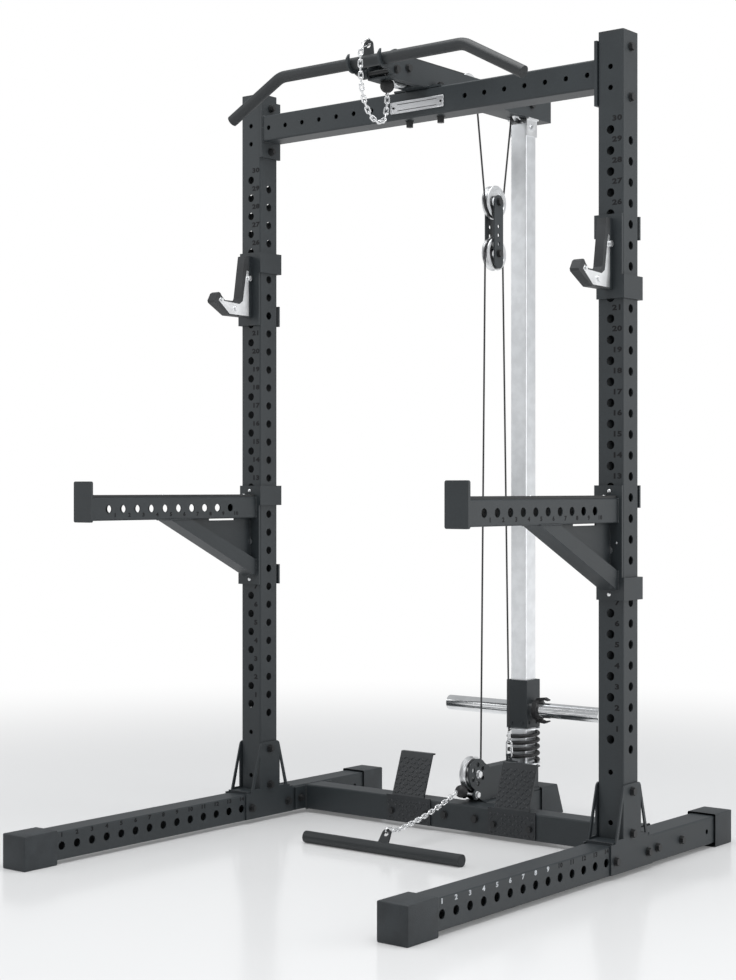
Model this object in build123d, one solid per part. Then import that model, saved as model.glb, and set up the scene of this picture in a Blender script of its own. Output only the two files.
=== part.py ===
from build123d import *
import math
import os

# Half rack with a lat pulldown and low row tower.  Millimetres, +Z up, -Y is the
# lifter's side, origin on the floor under the middle of the footprint.

# ---------------------------------------------------------------- driving sizes
TUBE = 70.0              # square frame tube, outside
WALL = 3.0               # frame tube wall
TUBE_CORNER = 5.0        # outside corner radius of the frame tube
UPRIGHT_X = 575.0        # upright centre from the mid-plane
UPRIGHT_Y = 140.0        # upright centre
UPRIGHT_BOTTOM = 86.0
UPRIGHT_TOP = 2005.0
HOLE_R = 10.5            # pin holes in uprights, legs and spotter arms
HOLE_PITCH = 50.0
FRONT_HOLE_Z = 322.0     # first numbered hole on the front face
SIDE_HOLE_Z = 297.0      # first hole on the side faces
UPRIGHT_HOLES = 30
ACCESSORY_R = 6.5        # small holes above and below the numbered ones
ACCESSORY_Z = (124.0, 244.0, 1872.0, 1922.0)

LEG_Z = 45.0             # leg centre height
LEG_FRONT = -739.0
LEG_REAR = 640.0
LEG_HOLE_Y = -622.0
LEG_HOLES = 14
CAP_WALL = 5.0
CAP_SOLE = 10.0
CAP_TOP = 85.0

CROSS_Y = 327.0          # base crossmember centre
REAR_LEG_END = 700.0
REAR_CAP_BACK = 745.0
BEAM_Z = 1910.0          # top crossbeam centre height
BEAM_HOLE_PITCH = 60.0
BEAM_FIRST_HOLE = 150.0
BEAM_HOLES = 7

LAT_FRONT = -55.0        # lat beam channel
LAT_REAR = 685.0
LAT_BOTTOM = 1945.0
LAT_TOP = 2008.0
LAT_WALL = 4.0

MAST = 50.0
MAST_Y = 598.0
MAST_TOP = 1930.0
SLEEVE_TOP = 154.0       # top of the sleeve round the mast's foot
SLEEVE_HALF = 31.0
SPINE_FRONT = 397.0      # box between the low pulley and the mast
SPINE_REAR = 545.0
SPINE_TOP = 167.0

CABLE_R = 2.5
GROOVE_GAP = 0.4         # cable to groove bottom
AXLE_R = 6.0
AXLE_FIT = 0.06          # radial running clearance on an axle

WHEEL_R = 45.0
PITCH_R = 42.0           # radius of the cable's centre line on a wheel
RIM_HALF = 10.0
HUB_HALF = 11.8
FRONT_PULLEY = (22.0, 1980.0)      # each pulley centre as (y, z)
MIDDLE_PULLEY = (326.0, 1980.0)
REAR_PULLEY = (587.0, 1980.0)
LOW_PULLEY = (349.0, 155.0)
FLOAT_UPPER = (454.0, 1697.0)
FLOAT_LOWER = (454.0, 1557.0)

CARRIAGE_BOTTOM = 255.0
CARRIAGE_TOP = 387.0
CARRIAGE_HALF = 34.0
CARRIAGE_WALL = 5.5
SLEEVE_Z = 305.0
SLEEVE_R = 21.0
SLEEVE_END = 252.0

BAR_R = 15.0             # lat bar tube
LAT_BAR = (-95.0, 1982.0)
ROW_BAR_R = 15.5
ROW_BAR = (-44.0, 15.5)
ROW_BAR_HALF = 248.0
LAT_BALL_Z = 1933.0
ROW_BALL_Y = 301.0

PIN_R = 9.5              # bracket pins, running in a reamed bore
PIN_BORE = 9.56
HOOK_PIN_Z = 1472.0      # front hole 24
SPOTTER_PIN_Z = 772.0    # front hole 10
HOOK_HALF = 12.5         # half width of the J-hook

LINK_WIRE = 2.0          # chain wire radius
LINK_HALF = 9.5          # centre of a link to the middle of its end wire
LINK_HALF_WIDTH = 5.0
LINK_PITCH = 14.7

parts = {}


# ---------------------------------------------------------------- helpers
def block(x0, x1, y0, y1, z0, z1):
    """Box between two opposite corners."""
    centre = Pos((x0 + x1) / 2, (y0 + y1) / 2, (z0 + z1) / 2)
    return centre * Box(x1 - x0, y1 - y0, z1 - z0)


def rod(start, end, radius):
    """Round bar between two points."""
    axis = Vector(*end) - Vector(*start)
    plane = Plane(origin=start, z_dir=axis)
    return extrude(plane * Circle(radius), amount=axis.length)


def pipe(start, end, outer, inner):
    """Round tube between two points."""
    axis = Vector(*end) - Vector(*start)
    plane = Plane(origin=start, z_dir=axis)
    return extrude(plane * (Circle(outer) - Circle(inner)), amount=axis.length)


def section(width, height, wall, corner):
    """Rectangular tube section with round corners."""
    inner_corner = max(corner - wall, 0.5)
    inner = RectangleRounded(width - 2 * wall, height - 2 * wall, inner_corner)
    return RectangleRounded(width, height, corner) - inner


def tube_x(x0, x1, y, z, width=TUBE, height=TUBE, wall=WALL, corner=TUBE_CORNER):
    """Rectangular tube along X; width is along Y."""
    profile = Plane.YZ.offset(x0) * Pos(y, z) * section(width, height, wall, corner)
    return extrude(profile, amount=x1 - x0)


def tube_y(y0, y1, x, z, width=TUBE, height=TUBE, wall=WALL, corner=TUBE_CORNER):
    """Rectangular tube along Y; width is along X."""
    profile = Plane.XZ.offset(-y1) * Pos(x, z) * section(width, height, wall, corner)
    return extrude(profile, amount=y1 - y0)


def tube_z(z0, z1, x, y, width=TUBE, depth=TUBE, wall=WALL, corner=TUBE_CORNER):
    """Rectangular tube along Z."""
    profile = Plane.XY.offset(z0) * Pos(x, y) * section(width, depth, wall, corner)
    return extrude(profile, amount=z1 - z0)


def side_plate(points, x0, x1):
    """Flat plate with an outline in the YZ plane, between two X values."""
    face = make_face(Polyline(*points, close=True))
    return extrude(Plane.YZ.offset(x0) * face, amount=x1 - x0)


def solids_of(*shapes):
    """Group of separate solids for one node."""
    found = []
    for shape in shapes:
        found.extend(shape.solids())
    return Compound(found)


def mirrored(shape):
    """Same piece on the other side of the mid-plane."""
    return mirror(shape, Plane.YZ)


def hexagon(point, axis, radius, height):
    """Hexagonal prism that grows from a point along an axis."""
    plane = Plane(origin=point, z_dir=axis)
    return extrude(plane * RegularPolygon(radius, 6), amount=height)


def through_bolt(head, nut, shank, head_height, nut_height=8.0):
    """Hex bolt clamped between two faces, with washers and a nut, as two solids."""
    a = Vector(*head)
    b = Vector(*nut)
    out = (a - b).normalized()
    washer = 2.0
    wide = shank * 1.6
    shaft = rod(tuple(b - out * (washer + nut_height + 3)), tuple(a), shank)
    cap = rod(tuple(a), tuple(a + out * washer), wide * 1.15)
    cap += hexagon(tuple(a + out * washer), tuple(out), wide, head_height)
    ring = rod(tuple(b), tuple(b - out * washer), wide * 1.15)
    ring += hexagon(tuple(b - out * washer), tuple(out * -1), wide, nut_height)
    ring -= rod(tuple(b + out), tuple(b - out * (washer + nut_height + 1)), shank + 0.05)
    return [shaft + cap, ring]


def holes_x(places, radius, x, reach):
    """Cutters along X at (y, z) places."""
    return [Pos(x, y, z) * Rot(0, 90, 0) * Cylinder(radius, reach) for y, z in places]


def holes_y(places, radius, y, reach):
    """Cutters along Y at (x, z) places."""
    return [Pos(x, y, z) * Rot(90, 0, 0) * Cylinder(radius, reach) for x, z in places]


# ---------------------------------------------------------------- frame
FRAME_BOLT_R = 6.0
FRAME_HOLE_R = 6.5
SADDLE_BOLTS = ((UPRIGHT_Y, 98.0), (UPRIGHT_Y, 198.0))
SADDLE_LEG_BOLTS = ((UPRIGHT_Y - 75, 43.0), (UPRIGHT_Y + 75, 43.0))
BEAM_BOLTS = ((UPRIGHT_Y, 1850.0), (UPRIGHT_Y, 1970.0))
CROSS_BOLTS = ((CROSS_Y - 60, LEG_Z), (CROSS_Y + 60, LEG_Z))
REAR_LEG_BOLT_X = 50.0
REAR_LEG_BOLT_Z = 47.0
LAT_BOLT_X = 50.0
PLATE_BOLT_X = (112.0, 224.0)
PLATE_BOLT_Z = 40.0
REACH = TUBE + 20


def make_upright():
    body = tube_z(UPRIGHT_BOTTOM, UPRIGHT_TOP, UPRIGHT_X, UPRIGHT_Y)
    front = [(UPRIGHT_X, FRONT_HOLE_Z + HOLE_PITCH * k) for k in range(UPRIGHT_HOLES)]
    side = [(UPRIGHT_Y, SIDE_HOLE_Z + HOLE_PITCH * k) for k in range(UPRIGHT_HOLES)]
    small = [(UPRIGHT_X, z) for z in ACCESSORY_Z]
    cutters = holes_y(front, HOLE_R, UPRIGHT_Y, REACH)
    cutters += holes_x(side, HOLE_R, UPRIGHT_X, REACH)
    cutters += holes_y(small, ACCESSORY_R, UPRIGHT_Y, REACH)
    cutters += holes_x(SADDLE_BOLTS + BEAM_BOLTS, FRAME_HOLE_R, UPRIGHT_X, REACH)
    return body - cutters


def make_leg():
    body = tube_y(LEG_FRONT, LEG_REAR, UPRIGHT_X, LEG_Z)
    numbered = [(LEG_HOLE_Y + HOLE_PITCH * k, LEG_Z) for k in range(LEG_HOLES)]
    cutters = holes_x(numbered, HOLE_R, UPRIGHT_X, REACH)
    cutters += holes_x(SADDLE_LEG_BOLTS + CROSS_BOLTS, FRAME_HOLE_R, UPRIGHT_X, REACH)
    cutters += holes_x([(520.0, LEG_Z)], ACCESSORY_R, UPRIGHT_X, REACH)
    return body - cutters


def make_saddle():
    """Bracket that straddles the leg and clasps the foot of the upright."""
    half_foot, half_neck, half_top = 97.0, 76.0, 38.0
    foot, shoulder, top = 12.0, 83.0, 217.0
    outline = [
        (-half_foot, foot), (half_foot, foot), (half_foot, shoulder), (half_neck, shoulder),
        (half_top, top), (-half_top, top), (-half_neck, shoulder), (-half_foot, shoulder),
    ]
    window = [(41.0, 91.0), (64.0, 91.0), (41.0, 180.0)]
    thick = 4.0
    body = block(UPRIGHT_X - TUBE / 2, UPRIGHT_X + TUBE / 2,
                 UPRIGHT_Y - 88, UPRIGHT_Y + 88, 80.0, UPRIGHT_BOTTOM)
    for x0 in (UPRIGHT_X - TUBE / 2 - thick, UPRIGHT_X + TUBE / 2):
        plate = side_plate([(UPRIGHT_Y + y, z) for y, z in outline], x0, x0 + thick)
        plate = fillet(plate.edges().filter_by(Axis.X).group_by(Axis.Z)[-1], 12.0)
        for sign in (-1, 1):
            opening = [(UPRIGHT_Y + sign * y, z) for y, z in window]
            plate -= side_plate(opening, x0 - 1, x0 + thick + 1)
        body += plate
    return body - holes_x(SADDLE_BOLTS + SADDLE_LEG_BOLTS, FRAME_HOLE_R, UPRIGHT_X, REACH)


def make_leg_cap(x, closed_y, open_y):
    """Rubber cup pushed over a leg's end."""
    inside = 1 if open_y > closed_y else -1
    half = TUBE / 2 + CAP_WALL
    low, high = sorted((closed_y, open_y))
    cup = block(x - half, x + half, low, high, 0.0, CAP_TOP)
    cup = fillet(cup.edges().filter_by(Axis.Y), 5.0)
    inner_low, inner_high = sorted((closed_y + inside * 6.0, open_y + inside))
    hollow = block(x - TUBE / 2, x + TUBE / 2, inner_low, inner_high,
                   LEG_Z - TUBE / 2, LEG_Z + TUBE / 2)
    hollow = fillet(hollow.edges().filter_by(Axis.Y), TUBE_CORNER)
    return cup - hollow


def make_crossmember():
    plate = 6.0
    inner = UPRIGHT_X - TUBE / 2
    body = tube_x(-inner + plate, inner - plate, CROSS_Y, LEG_Z)
    for sign in (-1, 1):
        x0, x1 = sorted((sign * (inner - plate), sign * inner))
        flange = block(x0, x1, CROSS_Y - 80, CROSS_Y + 80, 14.0, 76.0)
        body += flange - holes_x(CROSS_BOLTS, FRAME_HOLE_R, sign * inner, 30)
    front = [(sign * x, PLATE_BOLT_Z) for sign in (-1, 1) for x in PLATE_BOLT_X]
    body -= holes_y(front, 5.5, CROSS_Y - TUBE / 2, 20)
    rear = [(sign * REAR_LEG_BOLT_X, REAR_LEG_BOLT_Z) for sign in (-1, 1)]
    return body - holes_y(rear, FRAME_HOLE_R, CROSS_Y, REACH)


def make_rear_leg():
    front = CROSS_Y + TUBE / 2
    body = tube_y(front + 6, REAR_LEG_END, 0, LEG_Z)
    flange = block(-75, 75, front, front + 6, 14.0, 76.0)
    places = [(sign * REAR_LEG_BOLT_X, REAR_LEG_BOLT_Z) for sign in (-1, 1)]
    return body + (flange - holes_y(places, FRAME_HOLE_R, front, 30))


def make_rear_cap():
    """Rubber cup on the middle leg, with a sloping back."""
    half = TUBE / 2 + CAP_WALL
    outline = [(630.0, 0.0), (REAR_CAP_BACK, 0.0), (REAR_CAP_BACK - 4, 30.0),
               (712.0, CAP_TOP), (630.0, CAP_TOP)]
    cup = side_plate(outline, -half, half)
    hollow = block(-TUBE / 2, TUBE / 2, 629.0, REAR_LEG_END, 10.0, 80.0)
    return cup - fillet(hollow.edges().filter_by(Axis.Y), TUBE_CORNER)


def make_footplate():
    """Bent tread plate bolted to the front of the crossmember."""
    front = CROSS_Y - TUBE / 2
    thick = 4.0
    lower = block(94.0, 242.0, front - thick, front, 12.0, 84.0)
    lower -= holes_y([(x, PLATE_BOLT_Z) for x in PLATE_BOLT_X], 5.5, front, 20)
    leaning = [
        (front - thick, 82.0), (front, 82.0), (front + 0.5, 84.0), (front + 40.2, 195.0),
        (front + 50.0, 195.0), (front + 50.0, 199.0), (front + 37.5, 199.0),
        (front - thick, 84.0),
    ]
    return lower + side_plate(leaning, 115.0, 222.0)


def make_crossbeam():
    plate = 8.0
    inner = UPRIGHT_X - TUBE / 2
    body = tube_x(-inner + plate, inner - plate, UPRIGHT_Y, BEAM_Z)
    for sign in (-1, 1):
        x0, x1 = sorted((sign * (inner - plate), sign * inner))
        flange = block(x0, x1, UPRIGHT_Y - 39, UPRIGHT_Y + 39, 1832.0, 1988.0)
        body += flange - holes_x(BEAM_BOLTS, FRAME_HOLE_R, sign * inner, 30)
    row = [BEAM_FIRST_HOLE + BEAM_HOLE_PITCH * k for k in range(BEAM_HOLES)]
    places = [(sign * x, BEAM_Z) for sign in (-1, 1) for x in row]
    body -= holes_y(places, ACCESSORY_R, UPRIGHT_Y, REACH)
    for sign in (-1, 1):
        body -= Pos(sign * LAT_BOLT_X, UPRIGHT_Y, BEAM_Z) * Cylinder(FRAME_HOLE_R, REACH)
    return body


def make_upright_cap(sign):
    lid = Pos(sign * UPRIGHT_X, UPRIGHT_Y, UPRIGHT_TOP) * extrude(RectangleRounded(70, 70, 5), 3)
    plug = Pos(sign * UPRIGHT_X, UPRIGHT_Y, UPRIGHT_TOP - 15) * extrude(RectangleRounded(63, 63, 2), 15)
    return lid + plug


def make_nameplate():
    """Plain plate on the front of the crossbeam with two rivets."""
    face = UPRIGHT_Y - TUBE / 2
    sheet = extrude(Plane.XZ.offset(-face) * Pos(0, 1906.0) * RectangleRounded(170, 30, 3), 1.2)
    rivets = []
    for x in (-79.0, 79.0):
        hole = rod((x, face - 2, 1906.0), (x, face, 1906.0), 1.6)
        sheet -= hole
        rivets.append(rod((x, face - 1.9, 1906.0), (x, face, 1906.0), 1.5)
                      + rod((x, face - 2.1, 1906.0), (x, face - 1.25, 1906.0), 2.6))
    return solids_of(sheet, *rivets)


parts["right_upright"] = make_upright()
parts["right_leg"] = make_leg()
parts["left_upright"] = mirrored(parts["right_upright"])
parts["left_leg"] = mirrored(parts["right_leg"])
saddle = make_saddle()
parts["saddle_brackets"] = solids_of(saddle, mirrored(saddle))
leg_caps = []
for side in (-1, 1):
    leg_caps.append(make_leg_cap(side * UPRIGHT_X, -745.0, -639.0))
    leg_caps.append(make_leg_cap(side * UPRIGHT_X, 646.0, 555.0))
parts["foot_caps"] = solids_of(make_rear_cap(), *leg_caps)
parts["base_crossmember"] = make_crossmember()
parts["rear_leg"] = make_rear_leg()
footplate = make_footplate()
parts["footplates"] = solids_of(footplate, mirrored(footplate))
parts["top_crossbeam"] = make_crossbeam()
parts["upright_caps"] = solids_of(make_upright_cap(-1), make_upright_cap(1))
parts["nameplate"] = make_nameplate()


# ---------------------------------------------------------------- lat beam and mast
def make_lat_beam():
    """Tube that carries the three upper pulleys, open at the front."""
    half = TUBE / 2
    body = block(-half, half, LAT_FRONT, LAT_REAR, LAT_BOTTOM, LAT_TOP)
    body -= block(-half + LAT_WALL, half - LAT_WALL, LAT_FRONT - 1, LAT_REAR - LAT_WALL,
                  LAT_BOTTOM + LAT_WALL, LAT_TOP - LAT_WALL)
    ears = block(-75, 75, UPRIGHT_Y - 35, UPRIGHT_Y + 35, LAT_BOTTOM, LAT_BOTTOM + 5)
    ears -= block(-half, half, UPRIGHT_Y - 36, UPRIGHT_Y + 36, LAT_BOTTOM - 1, LAT_BOTTOM + 6)
    body += ears
    for y, z in (FRONT_PULLEY, MIDDLE_PULLEY, REAR_PULLEY):
        body -= block(-14, 14, y - 52, y + 52, LAT_BOTTOM - 1, LAT_TOP + 1)
    for sign in (-1, 1):
        body -= Pos(sign * LAT_BOLT_X, UPRIGHT_Y, LAT_BOTTOM) * Cylinder(FRAME_HOLE_R, 30)
    body -= Pos(0, FRONT_PULLEY[0] - PITCH_R, LAT_BALL_Z) * Sphere(21)
    axle_holes = (FRONT_PULLEY, MIDDLE_PULLEY, REAR_PULLEY, CRADLE_BOLT)
    return body - holes_x(axle_holes, AXLE_R + 0.3, 0, TUBE + 20)


def make_storage_hook(sign):
    """J-shaped cradle for the lat bar, bolted to the beam's side through a spacer."""
    y, z = CRADLE
    outline = Pos(y, z) * Circle(CRADLE_OUTER)
    outline += make_face(Polyline(
        (y, z), (y + 18, z + 18), (-56.0, 2012.0), (-49.0, 2013.0), (-44.0, 2005.0),
        (-38.0, 1966.0), (-44.0, 1952.0), (-58.0, 1950.0), (y + 10, z - CRADLE_OUTER), close=True))
    outline += Pos(*CRADLE_BOLT) * Circle(12.0)
    outline += Pos(y - (CRADLE_OUTER + CRADLE_INNER) / 2, (z + 1993) / 2) * Rectangle(
        CRADLE_OUTER - CRADLE_INNER, 1993 - z)
    outline -= Pos(y, z) * Circle(CRADLE_INNER)
    outline -= make_face(Polyline(
        (y - CRADLE_INNER, z), (y + CRADLE_INNER, z), (y + CRADLE_INNER + 22, z + 45),
        (y - CRADLE_INNER, z + 45), close=True))
    outline -= Pos(*CRADLE_BOLT) * Circle(AXLE_R + 0.3)
    x0, x1 = sorted((sign * 47, sign * 53))
    hook = extrude(Plane.YZ.offset(x0) * outline, amount=x1 - x0)
    spacer = pipe((sign * 35, *CRADLE_BOLT), (sign * 47, *CRADLE_BOLT), 12.0, AXLE_R + 0.3)
    return hook + spacer


def make_mast_bracket(sign):
    """Bright angle between the mast's top and the lat beam."""
    half = MAST / 2
    x0, x1 = sorted((sign * half, sign * (half + 4)))
    body = block(x0, x1, MAST_Y - half, MAST_Y + half, 1896.0, LAT_BOTTOM)
    x0, x1 = sorted((sign * half, sign * TUBE / 2))
    body += block(x0, x1, MAST_Y - half, MAST_Y + half, LAT_BOTTOM - 4, LAT_BOTTOM)
    return body - holes_x([(MAST_Y, 1919.0)], 5.3, 0, 90)


def make_mast():
    body = tube_z(UPRIGHT_BOTTOM, MAST_TOP, 0, MAST_Y, MAST, MAST, 3.0, 3.0)
    return body - holes_x([(MAST_Y, 1919.0), (MAST_Y, 134.0)], 5.3, 0, 90)


def make_mast_foot():
    """Square sleeve on a base plate, bolted round the foot of the mast."""
    outer = 2 * SLEEVE_HALF
    inner = MAST + 0.6
    body = tube_z(UPRIGHT_BOTTOM, SLEEVE_TOP, 0, MAST_Y, outer, outer, (outer - inner) / 2, 3.0)
    body += block(-35, 35, SPINE_REAR, 629.0, 80.0, UPRIGHT_BOTTOM)
    return body - holes_x([(MAST_Y, 134.0)], 5.3, 0, 110)


def make_low_bracket():
    """Two cheeks for the low pulley on the end of a box with the cable anchor eye."""
    wall = 4.0
    body = block(-CHEEK_IN, CHEEK_IN, SPINE_FRONT, SPINE_REAR, 80.0, SPINE_TOP)
    body -= block(-CHEEK_IN + wall, CHEEK_IN - wall, SPINE_FRONT + wall, SPINE_REAR - wall,
                  79.0, SPINE_TOP - wall)
    eye = block(-2.5, 2.5, ANCHOR_Y - 11, ANCHOR_Y + 11, SPINE_TOP - wall, ANCHOR_Z + 10)
    body += eye - holes_x([(ANCHOR_Y, ANCHOR_Z)], 5.5, 0, 20)
    py, pz = LOW_PULLEY
    for x0, radius in ((CHEEK_IN, CHEEK_R), (-CHEEK_OUT, REAR_CHEEK_R)):
        cheek = Pos(py, pz) * Circle(radius)
        cheek += make_face(Polyline(
            (py + 4, pz + radius - 0.3), (402.0, min(170.0, pz + radius)), (402.0, 80.0), (372.0, 80.0),
            (352.0, 90.0), (py - radius * 0.6, pz - radius * 0.7), (py, pz), close=True))
        cheek += Pos(*GUARD) * Circle(14)
        for k in range(6 if radius > 30 else 0):
            angle = math.radians(30 + 60 * k)
            cheek -= Pos(py + 25 * math.cos(angle), pz + 25 * math.sin(angle)) * Circle(6.5)
        cheek -= [Pos(py, pz) * Circle(AXLE_R + 0.3), Pos(*GUARD) * Circle(5.3)]
        body += extrude(Plane.YZ.offset(x0) * cheek, amount=CHEEK_OUT - CHEEK_IN)
    return body


CHEEK_IN, CHEEK_OUT = 17.0, 21.0
CHEEK_R, REAR_CHEEK_R = 41.0, 24.0
ANCHOR_Y = 527.0
ANCHOR_Z = 177.0
GUARD = (342.0, 101.0)
CRADLE = (-95.0, 1983.7)
CRADLE_INNER, CRADLE_OUTER = 17.0, 26.0
CRADLE_BOLT = (-50.0, 1962.0)
parts["lat_beam"] = make_lat_beam()
parts["bar_storage_hooks"] = solids_of(make_storage_hook(-1), make_storage_hook(1))
parts["mast"] = make_mast()
parts["mast_top_bracket"] = solids_of(make_mast_bracket(-1), make_mast_bracket(1))
parts["mast_foot"] = make_mast_foot()
parts["low_pulley_bracket"] = make_low_bracket()


# ---------------------------------------------------------------- bumper spring
SPRING_LOW = SLEEVE_TOP + 3.5
SPRING_WIRE = 5.0
SPRING_MEAN = 41.5
SPRING_TURNS = 4.5
SPRING_HIGH = CARRIAGE_BOTTOM - 4.5


def make_spring():
    travel = SPRING_HIGH - SPRING_LOW - 2 * SPRING_WIRE
    coil = Helix(pitch=travel / SPRING_TURNS, height=travel, radius=SPRING_MEAN)
    start = Plane(origin=coil @ 0, z_dir=coil % 0)
    wire = sweep(start * Circle(SPRING_WIRE), path=coil)
    return Pos(0, MAST_Y, SPRING_LOW + SPRING_WIRE) * wire


def spring_washer(z):
    return Pos(0, MAST_Y, z) * extrude(Circle(46.5) - Circle(36.5), 3.0)


parts["bumper_spring"] = make_spring()
parts["spring_washers"] = solids_of(spring_washer(SLEEVE_TOP + 0.1), spring_washer(SPRING_HIGH + 0.5))


# ---------------------------------------------------------------- pulleys
def make_wheel(centre):
    """Grooved aluminium wheel, turned from one blank, axis along X."""
    bottom = PITCH_R - CABLE_R - GROOVE_GAP
    web_half = 5.0
    bore = AXLE_R + AXLE_FIT
    outline = [
        (bore, -HUB_HALF), (13.0, -HUB_HALF), (15.0, -web_half),
        (bottom - 8, -web_half), (bottom - 4, -RIM_HALF), (WHEEL_R - 1, -RIM_HALF),
        (WHEEL_R, -RIM_HALF + 1), (WHEEL_R, -7.5), (bottom, -3.0), (bottom, 3.0),
        (WHEEL_R, 7.5), (WHEEL_R, RIM_HALF - 1), (WHEEL_R - 1, RIM_HALF),
        (bottom - 4, RIM_HALF), (bottom - 8, web_half), (15.0, web_half),
        (13.0, HUB_HALF), (bore, HUB_HALF),
    ]
    face = make_face(Polyline(*outline, close=True))
    wheel = revolve(face, axis=Axis.Y, revolution_arc=360)
    return Pos(0, *centre) * Rot(0, 0, 90) * wheel


def make_axle(centre, outside, inside):
    """Shoulder bolt with a nut, and a spacer on each side where the gap is wide."""
    y, z = centre
    found = through_bolt((outside, y, z), (-outside, y, z), AXLE_R, 6.0, 7.0)
    if inside - HUB_HALF > 1.5:
        for sign in (-1, 1):
            found.append(pipe((sign * (HUB_HALF + 0.5), y, z), (sign * inside, y, z),
                              9.0, AXLE_R + 0.1))
    return found


FLOAT_IN, FLOAT_OUT = 12.4, 16.4
wheels = {
    "front_pulley": FRONT_PULLEY,
    "middle_pulley": MIDDLE_PULLEY,
    "rear_pulley": REAR_PULLEY,
    "low_pulley": LOW_PULLEY,
    "float_upper_pulley": FLOAT_UPPER,
    "float_lower_pulley": FLOAT_LOWER,
}
for name, centre in wheels.items():
    parts[name] = make_wheel(centre)

top_axles = []
for centre in (FRONT_PULLEY, MIDDLE_PULLEY, REAR_PULLEY):
    top_axles += make_axle(centre, TUBE / 2, TUBE / 2 - LAT_WALL)
axles = make_axle(LOW_PULLEY, CHEEK_OUT, CHEEK_IN)
axles += through_bolt((CHEEK_OUT, *GUARD), (-CHEEK_OUT, *GUARD), 5.0, 6.0, 6.0)
axles += through_bolt((29.0, MAST_Y, 1919.0), (-29.0, MAST_Y, 1919.0), 5.0, 6.0, 6.0)
parts["pulley_axles"] = solids_of(*axles)


# ---------------------------------------------------------------- floating pulley block
def make_float_plate(x0):
    y = FLOAT_UPPER[0]
    low, high = 1516.0, 1716.0
    middle = (low + high) / 2
    plate = Pos(y, middle) * Rot(0, 0, 90) * SlotOverall(high - low, 41)
    plate -= [Pos(*FLOAT_UPPER) * Circle(AXLE_R + 0.3), Pos(*FLOAT_LOWER) * Circle(AXLE_R + 0.3)]
    plate -= [Pos(y, FLOAT_LOWER[1] + 26 + 24 * k) * Circle(5.5) for k in range(3)]
    return extrude(Plane.YZ.offset(x0) * plate, amount=FLOAT_OUT - FLOAT_IN)


parts["float_plates"] = solids_of(make_float_plate(FLOAT_IN), make_float_plate(-FLOAT_OUT))
float_axles = make_axle(FLOAT_UPPER, FLOAT_OUT, FLOAT_IN)
float_axles += make_axle(FLOAT_LOWER, FLOAT_OUT, FLOAT_IN)
parts["float_bolts"] = solids_of(*float_axles)


# ---------------------------------------------------------------- cables, in the x = 0 plane
def crossing_tangent(a, ra, b, rb, side):
    """Touch points of the belt line that crosses between two wheels.

    side is +1 when the line touches the first wheel on its +Y side."""
    dy, dz = b[0] - a[0], b[1] - a[1]
    length = math.hypot(dy, dz)
    opening = math.acos((ra + rb) / length)
    best = None
    for sign in (-1, 1):
        heading = math.atan2(dz, dy) + sign * opening
        uy, uz = math.cos(heading), math.sin(heading)
        if uy * side > 0:
            best = ((a[0] + ra * uy, a[1] + ra * uz), (b[0] - rb * uy, b[1] - rb * uz))
    return best


def angle_at(centre, point):
    return math.degrees(math.atan2(point[1] - centre[1], point[0] - centre[0]))


def wrap(centre, radius, start, end):
    """Arc of cable round a wheel from one angle to another, in degrees."""
    return CenterArc(centre, radius, start, end - start)


def cable(*edges):
    """Round cable swept along joined lines and arcs."""
    wire = Wire([Plane.YZ * edge for edge in edges])
    start = Plane(origin=wire @ 0, z_dir=wire % 0)
    return sweep(start * Circle(CABLE_R), path=wire)


def straight_cable(a, b, trim=0.5):
    """Straight run between two (y, z) points, a little short at both ends."""
    length = math.dist(a, b)
    dy, dz = (b[0] - a[0]) / length * trim, (b[1] - a[1]) / length * trim
    return rod((0, a[0] + dy, a[1] + dz), (0, b[0] - dy, b[1] - dz), CABLE_R)


fall_a = crossing_tangent(MIDDLE_PULLEY, PITCH_R, FLOAT_UPPER, PITCH_R, 1)
fall_b = crossing_tangent(FLOAT_UPPER, PITCH_R, REAR_PULLEY, PITCH_R, 1)
fall_c = crossing_tangent(FLOAT_LOWER, PITCH_R, LOW_PULLEY, PITCH_R, -1)
ANCHOR_TOP = (ANCHOR_Y, 250.0)      # the lower falls start at this height


def tangent_from_point(point, centre, radius):
    """Touch point on the +Y side of a wheel of the line from a point below it."""
    dy, dz = centre[0] - point[0], centre[1] - point[1]
    length = math.hypot(dy, dz)
    swing = math.asin(radius / length)
    heading = math.atan2(dz, dy) - swing
    reach = math.sqrt(length ** 2 - radius ** 2)
    return (point[0] + reach * math.cos(heading), point[1] + reach * math.sin(heading))


anchor_touch = tangent_from_point(ANCHOR_TOP, FLOAT_LOWER, PITCH_R)
drop = (fall_c[0][1] - ANCHOR_TOP[1]) / (fall_c[0][1] - fall_c[1][1])
low_start = (fall_c[0][0] + (fall_c[1][0] - fall_c[0][0]) * drop, ANCHOR_TOP[1])
lead_y = FRONT_PULLEY[0] - PITCH_R
run_z = FRONT_PULLEY[1] + PITCH_R
low_z = LOW_PULLEY[1] - PITCH_R
lead = cable(
    Line((lead_y, LAT_BALL_Z + 18.5), (lead_y, FRONT_PULLEY[1])),
    wrap(FRONT_PULLEY, PITCH_R, 180, 90),
    Line((FRONT_PULLEY[0], run_z), (MIDDLE_PULLEY[0], run_z)),
    wrap(MIDDLE_PULLEY, PITCH_R, 90, angle_at(MIDDLE_PULLEY, fall_a[0])),
)
rear_wrap = cable(wrap(REAR_PULLEY, PITCH_R, angle_at(REAR_PULLEY, fall_b[1]), 0))
low_wrap = cable(
    Line(low_start, fall_c[1]),
    wrap(LOW_PULLEY, PITCH_R, angle_at(LOW_PULLEY, fall_c[1]), -90),
    Line((LOW_PULLEY[0], low_z), (ROW_BALL_Y + 17.5, low_z)),
)
parts["cable_fixed_runs"] = solids_of(lead, rear_wrap, low_wrap)
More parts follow.
